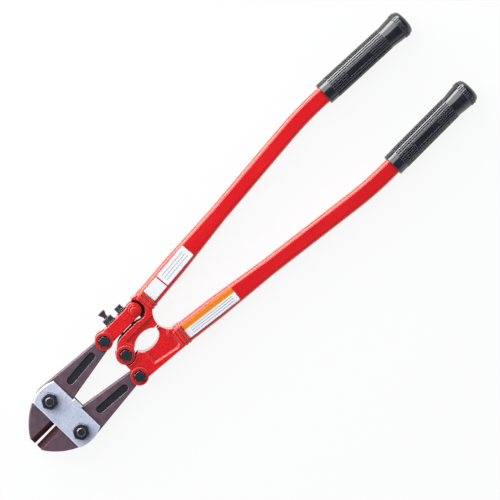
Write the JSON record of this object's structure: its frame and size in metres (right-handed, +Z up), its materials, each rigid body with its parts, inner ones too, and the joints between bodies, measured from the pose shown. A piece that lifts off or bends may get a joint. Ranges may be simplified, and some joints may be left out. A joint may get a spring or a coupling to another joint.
{
  "type": "bolt cutters",
  "caption": "Long-handled compound-lever bolt cutters with forged jaws, an adjusting arm, red tubular handles and ribbed black grips.",
  "frame": {"origin": "axis of the centre pivot at the bench, on the rear end of the pivot bolt", "axes": "+X along the tool towards the grips, +Y towards the adjusting arm, +Z up out of the bench"},
  "size_m": [0.6195, 0.1392, 0.0362],
  "materials": {
    "red_casting": "glossy red enamel over a sand-cast surface",
    "red_tube": "smooth glossy red enamel",
    "blade_steel": "forged alloy steel, dark brown oxide",
    "plate_steel": "plated steel, satin",
    "black_steel": "black oxide",
    "black_rubber": "moulded, slightly shiny",
    "label_vinyl": "white stickers on the tubes, with coloured bands and bare lines"
  },
  "bodies": {
    "left_handle": {"left_handle_head": "red_casting", "left_tube": "red_tube", "left_grip": "black_rubber", "centre_pivot_bolt": "black_steel", "centre_pivot_nut": "black_steel"},
    "right_handle": {"right_handle_head": "red_casting", "right_tube": "red_tube", "right_grip": "black_rubber", "right_link_bolt": "black_steel", "right_link_nut": "black_steel"},
    "adjusting_arm": {"adjusting_arm": "red_casting", "arm_pin": "red_casting", "arm_link_bolt": "black_steel", "arm_link_nut": "black_steel", "adjusting_lock_nut": "black_steel", "lock_nut_washer": "black_steel"},
    "adjusting_screw": {"adjusting_screw": "black_steel"},
    "clamp_screw": {"clamp_screw": "black_steel", "clamp_spring_washer": "black_steel", "clamp_flat_washer": "black_steel"},
    "right_blade": {"right_blade": "blade_steel"},
    "joint_plates": {"front_joint_plate": "plate_steel", "rear_joint_plate": "plate_steel", "left_joint_bolt": "black_steel", "right_joint_bolt": "black_steel", "left_joint_nut": "black_steel", "right_joint_nut": "black_steel"},
    "left_blade": {"left_blade": "blade_steel"}
  },
  "joints": [
    {"name": "handles_open", "type": "hinge", "parent": "left_handle", "child": "right_handle", "pos_m": [0, 0, 0.0155], "axis": [0, 0, -1], "range_deg": [-3, 90]},
    {"name": "right_blade_pivot", "type": "hinge", "parent": "right_handle", "child": "right_blade", "pos_m": [-0.006, -0.0276, 0.0155], "axis": [0, 0, 1], "range_deg": [-2, 53]},
    {"name": "right_joint_pivot", "type": "hinge", "parent": "right_blade", "child": "joint_plates", "pos_m": [-0.0943, -0.0242, 0.0155], "axis": [0, 0, 1], "range_deg": [-7.5, 0.5]},
    {"name": "left_joint_pivot", "type": "hinge", "parent": "joint_plates", "child": "left_blade", "pos_m": [-0.0943, 0.0242, 0.0155], "axis": [0, 0, 1], "range_deg": [-7.5, 0.5]},
    {"name": "arm_adjust", "type": "hinge", "parent": "left_handle", "child": "adjusting_arm", "pos_m": [0.0413, 0.0286, 0.0155], "axis": [0, 0, 1], "range_deg": [-0.8, 0.8]},
    {"name": "adjusting_screw_travel", "type": "slide", "parent": "adjusting_arm", "child": "adjusting_screw", "axis": [0, 1, 0], "range_m": [-0.0004, 0.0004]},
    {"name": "clamp_screw_travel", "type": "slide", "parent": "left_handle", "child": "clamp_screw", "axis": [0, 1, 0], "range_m": [-0.00016, 0.00016]}
  ],
  "couplings": [
    {"joint": "right_blade_pivot", "follows": "handles_open", "ratio": 0.58},
    {"joint": "right_joint_pivot", "follows": "handles_open", "ratio": -0.08},
    {"joint": "left_joint_pivot", "follows": "handles_open", "ratio": -0.08},
    {"joint": "adjusting_screw_travel", "follows": "arm_adjust", "m_per_rad": 0.0276},
    {"joint": "clamp_screw_travel", "follows": "arm_adjust", "m_per_rad": -0.0106}
  ]
}
